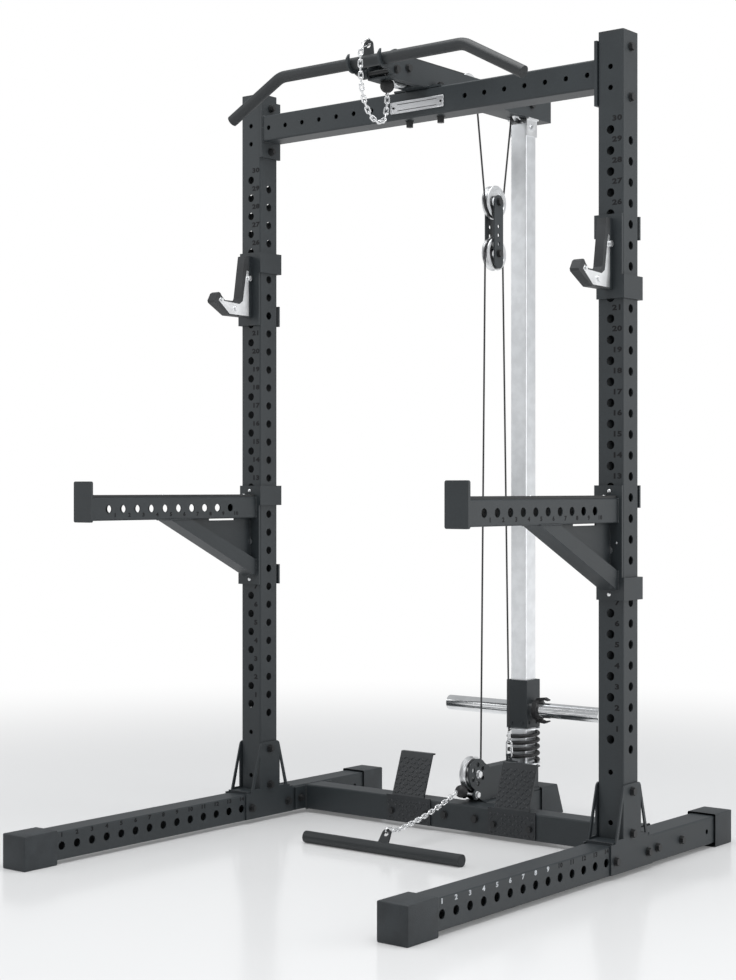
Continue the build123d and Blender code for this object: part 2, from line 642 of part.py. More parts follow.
parts["upper_cable_falls"] = solids_of(straight_cable(*fall_a), straight_cable(*fall_b))
parts["lower_cable_falls"] = solids_of(straight_cable(ANCHOR_TOP, anchor_touch),
                                       straight_cable(low_start, fall_c[0]))
TAIL_Y = REAR_PULLEY[0] + PITCH_R
TAIL_Z = CARRIAGE_TOP + 38.0
parts["upper_cable_tail"] = straight_cable((TAIL_Y, REAR_PULLEY[1]), (TAIL_Y, TAIL_Z))
under_start = angle_at(FLOAT_UPPER, fall_a[1]) % 360
under_end = angle_at(FLOAT_UPPER, fall_b[0]) % 360
over_start = angle_at(FLOAT_LOWER, anchor_touch)
over_end = angle_at(FLOAT_LOWER, fall_c[0]) % 360
under = cable(wrap(FLOAT_UPPER, PITCH_R, under_start, under_end))
over = cable(wrap(FLOAT_LOWER, PITCH_R, over_start, over_end))
parts["float_cable_wraps"] = solids_of(under, over)


# ---------------------------------------------------------------- chains and cable ends
def make_link():
    """Oval chain link along X, lying in the XY plane."""
    half = LINK_HALF - LINK_HALF_WIDTH
    oval = Wire([
        Line((-half, -LINK_HALF_WIDTH), (half, -LINK_HALF_WIDTH)),
        CenterArc((half, 0), LINK_HALF_WIDTH, -90, 180),
        Line((half, LINK_HALF_WIDTH), (-half, LINK_HALF_WIDTH)),
        CenterArc((-half, 0), LINK_HALF_WIDTH, 90, 180),
    ])
    start = Plane(origin=oval @ 0, z_dir=oval % 0)
    return sweep(start * Circle(LINK_WIRE), path=oval)


def lay_chain(route):
    """Links along a smooth route in the x = 0 plane, each turned from the one before."""
    curve = Plane.YZ * Spline(*route)
    count = round(curve.length / LINK_PITCH)
    link = make_link()
    placed = []
    for k in range(count):
        ends = []
        for f in ((k + 0.1) / count, (k + 0.9) / count):
            ends.append(curve @ f)
        along = (ends[1] - ends[0]).normalized()
        turn = 45 if k % 2 else -45
        side = Vector(1, 0, 0).rotate(Axis((0, 0, 0), along), turn)
        plane = Plane(origin=(ends[0] + ends[1]) / 2, x_dir=along, z_dir=side)
        placed.append(plane.location * link)
    return placed


def make_ball(y, z, radius, axis):
    """Rubber stopper ball with a bore for the cable fitting."""
    ball = Pos(0, y, z) * Sphere(radius)
    if axis == "z":
        ball -= rod((0, y, z - radius - 1), (0, y, z + radius + 1), 3.2)
    else:
        ball -= rod((0, y - radius - 1, z), (0, y + radius + 1, z), 3.2)
    return ball


LUG_EYE = 48.0           # bar axis to the middle of the lug's rim above its hole


def lug(thick=6.0):
    """Upright eye plate for a pull bar: base on the bar's axis, pointing +Z."""
    base, tip, hole = 17.0, 39.0, 38.0
    shape = make_face(Polyline((-base, 0), (base, 0), (13, tip), (-13, tip), close=True))
    shape += Pos(0, tip) * Circle(13)
    shape -= Pos(0, hole) * SlotOverall(16, 12)
    return extrude(Plane.XZ.offset(-thick / 2) * shape, amount=thick)


def quick_link(y, z, along_y, along_z, straight):
    """Open link in the x = 0 plane; its first end arc is centred on (y, z)."""
    width = 7.5
    oval = Wire([
        Line((0, -width), (straight, -width)),
        CenterArc((straight, 0), width, -90, 180),
        Line((straight, width), (0, width)),
        CenterArc((0, 0), width, 90, 180),
    ])
    start = Plane(origin=oval @ 0, z_dir=oval % 0)
    shape = sweep(start * Circle(LINK_WIRE + 0.2), path=oval)
    return Plane(origin=(0, y, z), x_dir=(0, along_y, along_z), z_dir=(1, 0, 0)).location * shape


def eye_along_z(y, top):
    """Swivel eye under a ball, its shank inside the ball."""
    ring = Plane.YZ * (Pos(y, top - 7) * (Circle(6.5) - Circle(3.4)))
    return extrude(ring, amount=2.0, both=True) + rod((0, y, top - 3.5), (0, y, top + 18), 2.8)


LAT_CHAIN_ROUTE = [(-117.5, 2018.0), (-125.0, 2005.0), (-128.0, 1977.0), (-126.0, 1933.0), (-117.0, 1890.0),
                   (-100.0, 1861.0), (-85.0, 1846.0), (-67.0, 1838.0), (-46.0, 1838.0),
                   (-31.0, 1848.0), (-24.0, 1870.0), (-20.5, 1892.0), (-20.0, 1904.7)]
parts["lat_ball"] = make_ball(lead_y, LAT_BALL_Z, 18.0, "z")
lat_link = quick_link(LAT_BAR[0], LAT_BAR[1] + LUG_EYE, -0.9, -0.44, 20.0)
parts["lat_chain"] = solids_of(lat_link, *lay_chain(LAT_CHAIN_ROUTE),
                               eye_along_z(lead_y, LAT_BALL_Z - 18))

ROW_CHAIN_ROUTE = [(273.8, 112.0), (236.0, 98.0), (180.0, 81.0), (120.0, 67.0),
                   (60.0, 56.5), (20.0, 52.0), (-1.0, 51.5)]
parts["row_ball"] = make_ball(ROW_BALL_Y, low_z, 17.0, "y")
row_eye = Plane.YZ * (Pos(ROW_BALL_Y - 24, low_z) * (Circle(6.5) - Circle(3.4)))
row_eye = extrude(row_eye, amount=2.0, both=True)
row_eye += rod((0, ROW_BALL_Y - 20.5, low_z), (0, ROW_BALL_Y, low_z), 2.8)
row_link = quick_link(-17.8, 55.8, 0.97, -0.24, 12.0)
parts["row_chain"] = solids_of(row_eye, row_link, *lay_chain(ROW_CHAIN_ROUTE))


def make_anchor():
    """Screw link through the eye plate, and the stop pressed on the cable's end."""
    half = 8.0
    low = ANCHOR_Z + half
    high = ANCHOR_Z + 46 - half
    ring = [
        Line((-half, low), (-half, high)),
        CenterArc((0, high), half, 180, -180),
        Line((half, high), (half, low)),
        CenterArc((0, low), half, 0, -180),
    ]
    wire = Wire([Plane.XZ.offset(-ANCHOR_Y) * edge for edge in ring])
    start = Plane(origin=wire @ 0, z_dir=wire % 0)
    hoop = sweep(start * Circle(2.5), path=wire)
    nut = rod((half, ANCHOR_Y, ANCHOR_Z + 16), (half, ANCHOR_Y, ANCHOR_Z + 30), 4.2)
    eye = Plane.YZ * (Pos(ANCHOR_Y, ANCHOR_Z + 47.5) * (Circle(7.5) - Circle(4.2)))
    stop = extrude(eye, amount=2.0, both=True)
    stop += rod((0, ANCHOR_Y, ANCHOR_Z + 53.5), (0, ANCHOR_Y, ANCHOR_TOP[1] - 0.2), 4.5)
    return solids_of(hoop + nut, stop)


parts["cable_anchor"] = make_anchor()


# ---------------------------------------------------------------- pull bars
def make_lat_bar():
    y, z = LAT_BAR
    end_x, end_z, bend_x = 458.0, 1891.0, 290.0
    route = FilletPolyline((-end_x, y, end_z), (-bend_x, y, z), (bend_x, y, z), (end_x, y, end_z),
                           radius=60)
    start = Plane(origin=route @ 0, z_dir=route % 0)
    tube = sweep(start * (Circle(BAR_R) - Circle(BAR_R - 2.5)), path=route)
    eye = Pos(0, y, z) * lug()
    eye -= rod((-30, y, z), (30, y, z), BAR_R - 1)
    bar = tube + eye
    drop = Vector(end_x - bend_x, 0, end_z - z).normalized()
    caps = []
    for sign in (-1, 1):
        out = Vector(drop.X * sign, 0, drop.Z)
        tip = Vector(sign * end_x, y, end_z)
        cap = rod(tuple(tip), tuple(tip + out * 3), BAR_R)
        cap += rod(tuple(tip - out * 12), tuple(tip), BAR_R - 2.6)
        caps.append(cap)
    return solids_of(bar, *caps)


def make_row_bar():
    y, z = ROW_BAR
    end = ROW_BAR_HALF - 3
    tube = pipe((-end, y, z), (end, y, z), ROW_BAR_R, ROW_BAR_R - 2.5)
    eye = Pos(0, y, z) * Rot(-33, 0, 0) * lug()
    eye -= rod((-30, y, z), (30, y, z), ROW_BAR_R - 1)
    caps = []
    for sign in (-1, 1):
        cap = rod((sign * end, y, z), (sign * ROW_BAR_HALF, y, z), ROW_BAR_R)
        cap += rod((sign * (end - 12), y, z), (sign * end, y, z), ROW_BAR_R - 2.6)
        caps.append(cap)
    return solids_of(tube + eye, *caps)


parts["lat_bar"] = make_lat_bar()
parts["row_bar"] = make_row_bar()


# ---------------------------------------------------------------- weight carriage
def make_carriage():
    outer = 2 * CARRIAGE_HALF
    body = tube_z(CARRIAGE_BOTTOM, CARRIAGE_TOP, 0, MAST_Y, outer, outer, CARRIAGE_WALL, 3.0)
    body += rod((0, TAIL_Y, CARRIAGE_TOP - 1), (0, TAIL_Y, CARRIAGE_TOP + 38), 4.8)
    for sign in (-1, 1):
        for side in (-17, 17):
            y = MAST_Y + side
            x = sign * CARRIAGE_HALF
            body += rod((x - sign, y, 269.0), (x + sign * 2.5, y, 269.0), 4.5)
            body += rod((side, MAST_Y + sign * (CARRIAGE_HALF - 1), 269.0),
                        (side, MAST_Y + sign * (CARRIAGE_HALF + 2.5), 269.0), 4.5)
    return body


def make_liner(z0):
    outer = 2 * (CARRIAGE_HALF - CARRIAGE_WALL) - 0.2
    inner = MAST + 1.0
    sleeve = RectangleRounded(outer, outer, 0.5) - RectangleRounded(inner, inner, 2.5)
    return Pos(0, MAST_Y, z0) * extrude(sleeve, 38)


def make_sleeve(sign):
    """Chromed plate sleeve with a closed end."""
    root = sign * CARRIAGE_HALF
    tip = sign * SLEEVE_END
    tube = rod((root, MAST_Y, SLEEVE_Z), (tip, MAST_Y, SLEEVE_Z), SLEEVE_R)
    bore = rod((root - sign, MAST_Y, SLEEVE_Z), (tip - sign * 4, MAST_Y, SLEEVE_Z), SLEEVE_R - 3)
    ends = tube.edges().filter_by(GeomType.CIRCLE).sort_by(Axis.X)
    end = ends[-1] if sign > 0 else ends[0]
    return chamfer(end, 1.5) - bore


def make_clip():
    """Split plastic collar with two squeeze horns."""
    near, far = 44.0, 58.0
    ring = pipe((near, MAST_Y, SLEEVE_Z), (far, MAST_Y, SLEEVE_Z), 28.5, SLEEVE_R + AXLE_FIT)
    ring -= block(near - 1, far + 1, MAST_Y + 10, MAST_Y + 40, SLEEVE_Z - 2, SLEEVE_Z + 2)
    for sign in (-1, 1):
        horn = make_face(Polyline(
            (near, SLEEVE_Z + sign * 26), (far, SLEEVE_Z + sign * 24),
            (far + 14, SLEEVE_Z + sign * 29), (far + 26, SLEEVE_Z + sign * 27),
            (far + 28, SLEEVE_Z + sign * 30), (far + 15, SLEEVE_Z + sign * 36),
            (near + 4, SLEEVE_Z + sign * 33), close=True))
        ring += extrude(Plane.XZ.offset(-MAST_Y - 7) * horn, amount=14)
    return ring


parts["carriage_block"] = make_carriage()
parts["slide_liners"] = solids_of(make_liner(CARRIAGE_BOTTOM + 3), make_liner(CARRIAGE_TOP - 41))
parts["weight_sleeves"] = solids_of(make_sleeve(-1), make_sleeve(1))
parts["spring_clip"] = make_clip()


# ---------------------------------------------------------------- J-hooks and spotter arms
PLATE_BACK = UPRIGHT_Y - TUBE / 2 - 1.0     # 1 mm off the upright's face
PLATE_T = 6.0
TAB_T = 5.0
PLATE_FACE = PLATE_BACK - PLATE_T
FLANGE_FRONT = UPRIGHT_Y + TUBE / 2 + 5.0
TAB_GAP = 1.0
IN_X = UPRIGHT_X - TUBE / 2
OUT_X = UPRIGHT_X + TUBE / 2


def make_bracket(low, high, tab, pin_z):
    """Plate with an inner upper tab and an outer lower tab round the upright's back."""
    back = FLANGE_FRONT + PLATE_T
    body = block(IN_X, OUT_X, PLATE_FACE, PLATE_BACK, low, high)
    inner = IN_X - TAB_GAP - TAB_T
    body += block(inner, IN_X, PLATE_FACE, PLATE_BACK, high - tab, high)
    body += block(inner, IN_X - TAB_GAP, PLATE_FACE, back, high - tab, high)
    body += block(inner, OUT_X, FLANGE_FRONT, back, high - tab, high)
    outer = OUT_X + TAB_GAP + TAB_T
    body += block(OUT_X, outer, PLATE_FACE, PLATE_BACK, low, low + tab)
    body += block(OUT_X + TAB_GAP, outer, PLATE_FACE, back, low, low + tab)
    body += block(IN_X, outer, FLANGE_FRONT, back, low, low + tab)
    return body - rod((UPRIGHT_X, 0, pin_z), (UPRIGHT_X, PLATE_BACK + 1, pin_z), PIN_BORE)


def make_pin(pin_z):
    """Locating pin through the bracket into the upright, with a bevelled nose."""
    start = PLATE_FACE + 0.5
    pin = rod((UPRIGHT_X, start, pin_z), (UPRIGHT_X, 162.0, pin_z), PIN_R)
    nose = pin.edges().filter_by(GeomType.CIRCLE).sort_by(Axis.Y)[-1]
    return chamfer(nose, 3.0)


HOOK_LOW, HOOK_HIGH, HOOK_TAB = 1369.5, 1570.0, 56.0
SPINE_Y = 83.0           # the hook's body bolts to a spine on the bracket
HOOK_OUTLINE = [
    (SPINE_Y, 1390.0), (SPINE_Y, 1559.0), (65.0, 1557.0), (47.0, 1440.0),
    (42.0, 1432.0), (34.0, 1430.5), (-14.0, 1430.0), (-27.0, 1441.0), (-32.0, 1448.0),
    (-38.0, 1450.0), (-46.0, 1446.0), (-57.0, 1427.0), (-55.0, 1421.0), (-4.0, 1393.0),
    (2.0, 1390.0),
]
ZINC_OUTLINE = [
    (58.0, 1433.0), (74.0, 1519.0), (SPINE_Y, 1516.0), (SPINE_Y, 1393.5),
    (5.5, 1394.0), (-38.5, 1428.0), (-31.0, 1438.0), (-24.0, 1434.0), (-15.5, 1427.5),
    (45.0, 1424.0),
]
HOOK_BOLTS = (((32.0, 1410.0), 4.0, 7.5), ((-27.0, 1430.0), 2.5, 4.5), ((84.0, 1497.0), 4.0, 7.5))


def make_hook_liner():
    """Plastic body of the J-hook, pocketed on both sides for the zinc plates."""
    x = UPRIGHT_X
    body = side_plate(HOOK_OUTLINE, x - HOOK_HALF, x + HOOK_HALF)
    for x0, x1 in ((x - HOOK_HALF - 1, x - 9), (x + 9, x + HOOK_HALF + 1)):
        body -= side_plate(ZINC_OUTLINE, x0, x1)
    for place, shank, _ in HOOK_BOLTS:
        body -= holes_x([place], shank + 0.2, x, 40)
    pads = [
        block(IN_X + 3, OUT_X - 2, FLANGE_FRONT - 3.5, FLANGE_FRONT, HOOK_HIGH - HOOK_TAB + 3,
              HOOK_HIGH - 3),
        block(IN_X + 2, OUT_X - 3, FLANGE_FRONT - 3.5, FLANGE_FRONT, HOOK_LOW + 3,
              HOOK_LOW + HOOK_TAB - 3),
    ]
    return solids_of(body, *pads)


def make_hook_bracket():
    """Bracket with the spine that carries the hook's body."""
    x = UPRIGHT_X
    body = make_bracket(HOOK_LOW, HOOK_HIGH, HOOK_TAB, HOOK_PIN_Z)
    spine = block(x - 10, x + 10, SPINE_Y, PLATE_FACE, 1390.0, 1559.0)
    spine -= holes_x([HOOK_BOLTS[2][0]], 4.2, x, 40)
    return body + spine


def make_hook_plates():
    """Zinc side plates and their cross bolts."""
    x = UPRIGHT_X
    found = []
    for x0, x1 in ((x - 12, x - 9), (x + 9, x + 12)):
        plate = side_plate(ZINC_OUTLINE, x0, x1)
        for place, shank, _ in HOOK_BOLTS[:2]:
            plate -= holes_x([place], shank + 0.2, x, 40)
        found.append(plate)
    for (y, z), shank, head in HOOK_BOLTS:
        face = 12.0 if y < SPINE_Y else HOOK_HALF
        bolt = rod((x - face, y, z), (x + face, y, z), shank)
        bolt += rod((x + face, y, z), (x + face + 4, y, z), head)
        bolt += rod((x - face - 4, y, z), (x - face, y, z), head)
        found.append(bolt)
    return solids_of(*found)


SPOT_LOW, SPOT_HIGH, SPOT_TAB = 653.0, 926.0, 54.0
ARM_LOW, ARM_HIGH = 837.0, 895.5
ARM_HALF = 25.0
ARM_FRONT = -515.0
ARM_HOLE_Y = -456.0
ARM_HOLES = 10


def make_spotter():
    """Bracket, arm, stop plate, brace and web, welded."""
    x = UPRIGHT_X
    body = make_bracket(SPOT_LOW, SPOT_HIGH, SPOT_TAB, SPOTTER_PIN_Z)
    middle = (ARM_LOW + ARM_HIGH) / 2
    arm = tube_y(ARM_FRONT, PLATE_FACE, x, middle, 2 * ARM_HALF, ARM_HIGH - ARM_LOW, 3.0, 4.0)
    row = [(ARM_HOLE_Y + HOLE_PITCH * k, middle) for k in range(ARM_HOLES)]
    body += arm - holes_x(row, HOLE_R, x, 80)
    stop = extrude(Plane.XZ.offset(-ARM_FRONT) * Pos(x, 884.5) * RectangleRounded(62, 103, 5), 8.0)
    body += stop
    outer = [(-236.5, ARM_LOW), (-157.0, ARM_LOW), (PLATE_FACE, 723.0), (PLATE_FACE, 677.0)]
    inner = [(-222.0, ARM_LOW - 3.5), (-160.0, ARM_LOW - 3.5), (PLATE_FACE - 3, 720.5),
             (PLATE_FACE - 3, 682.0)]
    brace = side_plate(outer, x - ARM_HALF, x + ARM_HALF)
    brace -= side_plate(inner, x - ARM_HALF + 3, x + ARM_HALF - 3)
    body += brace
    body -= rod((x, -185, ARM_LOW - 6), (x, -185, ARM_LOW + 6), 4.0)
    web = side_plate([(-157.0, ARM_LOW), (PLATE_FACE, ARM_LOW), (PLATE_FACE, 723.0)],
                     x - 2.5, x + 2.5)
    web -= block(x - 4, x + 4, -66.0, 36.0, ARM_LOW - 5, ARM_LOW)
    return body + web


def make_strip():
    """Plastic wear strip on top of the arm."""
    x = UPRIGHT_X
    strip = block(x - 22, x + 22, ARM_FRONT + 2, PLATE_FACE - 2, ARM_HIGH, ARM_HIGH + 6.5)
    return chamfer(strip.edges().filter_by(Axis.Y).group_by(Axis.Z)[-1], 2.0)


right_side = {
    "hook_pin": make_pin(HOOK_PIN_Z),
    "hook_bracket": make_hook_bracket(),
    "hook_liner": make_hook_liner(),
    "hook_plates": make_hook_plates(),
    "spotter_pin": make_pin(SPOTTER_PIN_Z),
    "spotter_arm": make_spotter(),
    "spotter_strip": make_strip(),
}
for name, shape in right_side.items():
    parts["right_" + name] = shape
    parts["left_" + name] = mirrored(shape)


# ---------------------------------------------------------------- frame bolts
bolts = list(top_axles)
for side in (-1, 1):
    outer_x = side * OUT_X
    inner_x = side * IN_X
    for y, z in SADDLE_BOLTS + SADDLE_LEG_BOLTS:
        bolts += through_bolt((outer_x + side * 4, y, z), (inner_x - side * 4, y, z), FRAME_BOLT_R, 7)
    for y, z in CROSS_BOLTS:
        bolts += through_bolt((outer_x, y, z), (inner_x - side * 6, y, z), FRAME_BOLT_R, 7)
    for y, z in BEAM_BOLTS:
        bolts += through_bolt((outer_x, y, z), (inner_x - side * 8, y, z), FRAME_BOLT_R, 7)
    rear_x = side * REAR_LEG_BOLT_X
    bolts += through_bolt((rear_x, CROSS_Y - TUBE / 2, REAR_LEG_BOLT_Z),
                          (rear_x, CROSS_Y + TUBE / 2 + 6, REAR_LEG_BOLT_Z), FRAME_BOLT_R, 6)
    lat_x = side * LAT_BOLT_X
    bolts += through_bolt((lat_x, UPRIGHT_Y, BEAM_Z - TUBE / 2),
                          (lat_x, UPRIGHT_Y, LAT_BOTTOM + 5), FRAME_BOLT_R, 14)
    for x in PLATE_BOLT_X:
        front = CROSS_Y - TUBE / 2
        bolts += through_bolt((side * x, front - 4, PLATE_BOLT_Z), (side * x, front + 3, PLATE_BOLT_Z),
                              5.0, 5)
bolts += through_bolt((-SLEEVE_HALF, MAST_Y, 134.0), (SLEEVE_HALF, MAST_Y, 134.0), 5.0, 6)
bolts += through_bolt((53, *CRADLE_BOLT), (-53, *CRADLE_BOLT), AXLE_R, 6)
parts["frame_bolts"] = solids_of(*bolts)


# ---------------------------------------------------------------- export
os.makedirs("parts", exist_ok=True)
for name, shape in parts.items():
    shape.label = name
    export_step(shape, "parts/" + name + ".step")
print(len(parts), "nodes")
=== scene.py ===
import math

import bmesh
import bpy
from mathutils import Matrix, Vector


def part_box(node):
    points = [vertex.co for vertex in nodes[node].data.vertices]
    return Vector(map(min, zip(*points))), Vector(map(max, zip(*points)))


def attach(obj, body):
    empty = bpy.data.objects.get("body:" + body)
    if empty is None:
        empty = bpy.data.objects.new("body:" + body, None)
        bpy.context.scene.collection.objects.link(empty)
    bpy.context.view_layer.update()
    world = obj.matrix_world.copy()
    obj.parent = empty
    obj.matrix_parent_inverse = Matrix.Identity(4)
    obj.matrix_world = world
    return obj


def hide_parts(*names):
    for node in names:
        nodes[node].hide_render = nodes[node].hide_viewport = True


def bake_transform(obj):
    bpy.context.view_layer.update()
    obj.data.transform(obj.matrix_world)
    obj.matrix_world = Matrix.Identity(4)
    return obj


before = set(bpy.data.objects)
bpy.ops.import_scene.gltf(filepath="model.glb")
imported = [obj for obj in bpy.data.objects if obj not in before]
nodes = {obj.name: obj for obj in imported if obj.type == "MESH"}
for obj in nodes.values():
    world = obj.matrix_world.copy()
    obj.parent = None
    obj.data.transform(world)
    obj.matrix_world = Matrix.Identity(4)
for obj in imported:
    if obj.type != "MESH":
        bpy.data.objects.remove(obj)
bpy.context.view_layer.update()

# ---------------------------------------------------------------- camera
camera_data = bpy.data.cameras.new("camera")
camera_data.sensor_width = 36.0
camera_data.lens = 66.75
camera_data.shift_y = -0.0022
camera = bpy.data.objects.new("camera", camera_data)
camera.location = (2.8096, -3.6364, 0.920)
camera.rotation_euler = (math.radians(90), 0, math.radians(38.45))
bpy.context.scene.collection.objects.link(camera)
bpy.context.scene.camera = camera


# ---------------------------------------------------------------- shader tools
class Wire:
    """A shader socket that takes part in Python arithmetic."""

    def __init__(self, shader, socket):
        self.shader = shader
        self.socket = socket

    def _math(self, operation, *values):
        found = self.shader.node("ShaderNodeMath", {"operation": operation}, dict(enumerate(values)))
        return found["Value"]

    def __add__(self, other):
        return self._math("ADD", self, other)

    def __radd__(self, other):
        return self._math("ADD", other, self)

    def __mul__(self, other):
        return self._math("MULTIPLY", self, other)

    def __rmul__(self, other):
        return self._math("MULTIPLY", other, self)

    def __pow__(self, other):
        return self._math("POWER", self, other)

    def between(self, low, high):
        """0 below low, 1 above high, smooth in between."""
        settings = {"interpolation_type": "SMOOTHSTEP"}
        ends = {"Value": self, "From Min": low, "From Max": high}
        found = self.shader.node("ShaderNodeMapRange", settings, ends)
        return found["Result"]


class Outputs:
    """A node whose outputs are read as wires, by name or by index."""

    def __init__(self, shader, node):
        self.shader = shader
        self.node = node

    def __getitem__(self, name):
        return Wire(self.shader, self.node.outputs[name])


class Shader:
    """A node tree, and the one method that adds nodes to it."""

    def __init__(self, tree):
        self.tree = tree

    def node(self, kind, settings, values):
        """Any node: its settings first, then a value or a link for each socket."""
        found = self.tree.nodes.new(kind)
        for key, value in settings.items():
            setattr(found, key, value)
        for key, value in values.items():
            self.join(value, found.inputs[key])
        return Outputs(self, found)

    def join(self, value, socket):
        if isinstance(value, Wire):
            self.tree.links.new(value.socket, socket)
        else:
            socket.default_value = value


class Finish(Shader):
    """One material with a Principled shader."""

    def __init__(self, name, **constants):
        self.material = bpy.data.materials.new(name)
        self.material.use_nodes = True
        super().__init__(self.material.node_tree)
        self.surface = self.tree.nodes["Principled BSDF"]
        for socket, value in constants.items():
            self.surface.inputs[socket.replace("_", " ")].default_value = value
        self.place = self.node("ShaderNodeTexCoord", {}, {})["Object"]

    def feed(self, name, wire):
        self.join(wire, self.surface.inputs[name])

    def moved(self, offset=(0, 0, 0), scale=(1, 1, 1)):
        found = self.node("ShaderNodeMapping", {}, {
            "Vector": self.place, "Location": offset, "Scale": scale})
        return found["Vector"]

    def noise(self, size, detail=2.0, place=None):
        """Noise whose grains are about size metres across."""
        found = self.node("ShaderNodeTexNoise", {}, {
            "Vector": place or self.place, "Scale": 1 / size, "Detail": detail})
        return found["Fac"]

    def colours(self, amount, first, second):
        """Mix of two colours; the RGBA sockets of a Mix node are read by index."""
        found = self.node("ShaderNodeMix", {"data_type": "RGBA"}, {
            0: amount, 6: (*first, 1), 7: (*second, 1)})
        return found[2]

    def relief(self, height, depth):
        """Bump of a given depth in metres on the Normal socket."""
        self.feed("Normal", self.node("ShaderNodeBump", {}, {"Height": height, "Distance": depth})["Normal"])


# ---------------------------------------------------------------- finishes
def powder_coat(name, tone, grain=0.0011, depth=0.00012, gloss=0.0):
    """Fine-texture satin powder coat."""
    coat = Finish(name, Metallic=0.0, Specular_IOR_Level=0.45)
    speckle = coat.noise(grain, 3.0)
    cloud = coat.noise(0.16, 3.0)
    wear = (speckle * 0.6 + cloud * 0.4).between(0.35, 0.68)
    dark = tuple(c * 0.82 for c in tone)
    light = tuple(c * 1.2 for c in tone)
    coat.feed("Base Color", coat.colours(wear, dark, light))
    coat.feed("Roughness", 0.40 - gloss + cloud * 0.12 + speckle * 0.06)
    coat.relief(speckle, depth)
    return coat.material


def moulded(name, tone, rough=0.6, grain=0.0016, depth=0.00018):
    """Moulded rubber or plastic with a fine spark-eroded grain."""
    body = Finish(name, Metallic=0.0, Specular_IOR_Level=0.4)
    pits = body.node("ShaderNodeTexVoronoi", {"feature": "F1"}, {
        "Vector": body.place, "Scale": 1 / grain})["Distance"]
    scuffs = body.noise(0.05, 4.0)
    body.feed("Base Color", body.colours(scuffs.between(0.35, 0.7), tone, tuple(c * 1.45 for c in tone)))
    body.feed("Roughness", rough + scuffs * 0.14)
    body.relief(pits, depth)
    return body.material


def plated(name, tone, rough, variation=0.08, streak=(1, 1, 1)):
    """Chrome or zinc plate with faint rubbing marks."""
    plate = Finish(name, Metallic=1.0)
    marks = plate.noise(0.004, 3.0, plate.moved(scale=streak))
    bloom = plate.noise(0.03, 3.0)
    plate.feed("Base Color", plate.colours(bloom.between(0.3, 0.7), tuple(c * 0.9 for c in tone), tone))
    plate.feed("Roughness", rough + marks * variation + bloom * variation)
    plate.relief(marks, 0.00003)
    return plate.material


def turned(name, centre):
    """Turned aluminium: fine rings round the wheel's own axis."""
    y, z = centre
    wheel = Finish(name, Metallic=1.0)
    around = wheel.node("ShaderNodeSeparateXYZ", {}, {"Vector": wheel.moved((0, -y, -z))})
    radius = (around["Y"] * around["Y"] + around["Z"] * around["Z"]) ** 0.5
    ring = wheel.node("ShaderNodeTexNoise", {"noise_dimensions": "1D"}, {
        "W": radius, "Scale": 1600.0, "Detail": 2.0})["Fac"]
    haze = wheel.noise(0.02, 3.0)
    wheel.feed("Base Color", wheel.colours(ring, (0.62, 0.63, 0.64), (0.86, 0.87, 0.88)))
    wheel.feed("Roughness", 0.20 + ring * 0.12 + haze * 0.10)
    wheel.relief(ring, 0.00006)
    return wheel.material


def brushed(name, tone, along):
    """Brushed sheet: long fine scratches along one axis."""
    sheet = Finish(name, Metallic=1.0)
    scratch = sheet.noise(0.0008, 3.0, sheet.moved(scale=along))
    sheet.feed("Base Color", sheet.colours(scratch, tuple(c * 0.8 for c in tone), tone))
    sheet.feed("Roughness", 0.26 + scratch * 0.16)
    sheet.relief(scratch, 0.00004)
    return sheet.material


def jacketed(name):
    """Smooth black cable jacket with the strands just showing through."""
    jacket = Finish(name, Metallic=0.0, Specular_IOR_Level=0.5)
    strands = jacket.node("ShaderNodeTexWave", {"wave_type": "BANDS", "bands_direction": "DIAGONAL"}, {
        "Vector": jacket.place, "Scale": 170.0, "Distortion": 0.0})["Fac"]
    dust = jacket.noise(0.01, 2.0)
    jacket.feed("Base Color", jacket.colours(dust, (0.008, 0.008, 0.009), (0.022, 0.022, 0.024)))
    jacket.feed("Roughness", 0.34 + dust * 0.14)
    jacket.relief(strands, 0.0001)
    return jacket.material


SLATE = (0.022, 0.0275, 0.031)
coat = powder_coat("powder_coat", SLATE)
bar_coat = powder_coat("bar_coat", (0.018, 0.021, 0.023), depth=0.0001)
tread_coat = powder_coat("tread_coat", (0.020, 0.023, 0.026), gloss=0.14)
cap_rubber = moulded("cap_rubber", (0.022, 0.026, 0.029), 0.48, 0.0022, 0.0003)
ball_rubber = moulded("ball_rubber", (0.012, 0.012, 0.013), 0.5)
hook_plastic = moulded("hook_plastic", (0.022, 0.024, 0.026), 0.46)
strip_plastic = moulded("strip_plastic", (0.016, 0.017, 0.018), 0.5)
clip_plastic = moulded("clip_plastic", (0.014, 0.014, 0.015), 0.42)
chrome = plated("chrome", (0.86, 0.88, 0.90), 0.30, 0.015, (1, 1, 0.02))
sleeve_chrome = plated("sleeve_chrome", (0.86, 0.87, 0.88), 0.08, 0.05, (0.03, 1, 1))
zinc = plated("zinc_plate", (0.80, 0.81, 0.82), 0.20, 0.14)
chain_zinc = plated("chain_zinc", (0.84, 0.85, 0.86), 0.14, 0.1)
black_oxide = powder_coat("black_oxide", (0.014, 0.015, 0.016), 0.0007, 0.00004)
spring_coat = powder_coat("spring_coat", (0.010, 0.010, 0.011), 0.0009, 0.00004)
plate_metal = brushed("brushed_plate", (0.78, 0.79, 0.81), (0.02, 1, 1))
cable_jacket = jacketed("cable_jacket")
nylon = moulded("nylon_liner", (0.62, 0.60, 0.55), 0.5)
# near-black painted shade: the dark inside of the cut-out digits; the same black prints the nameplate's two
# fine lines
hole_shade_and_print = moulded("cut_number", (0.004, 0.004, 0.005), 0.8)
# pale grey painted light: the bright floor seen through the cut-out digits
seen_through_light = moulded("painted_light_number", (0.42, 0.44, 0.46), 0.6)
weld_metal = powder_coat("coated_weld", (0.036, 0.041, 0.045), 0.0022, 0.0006)

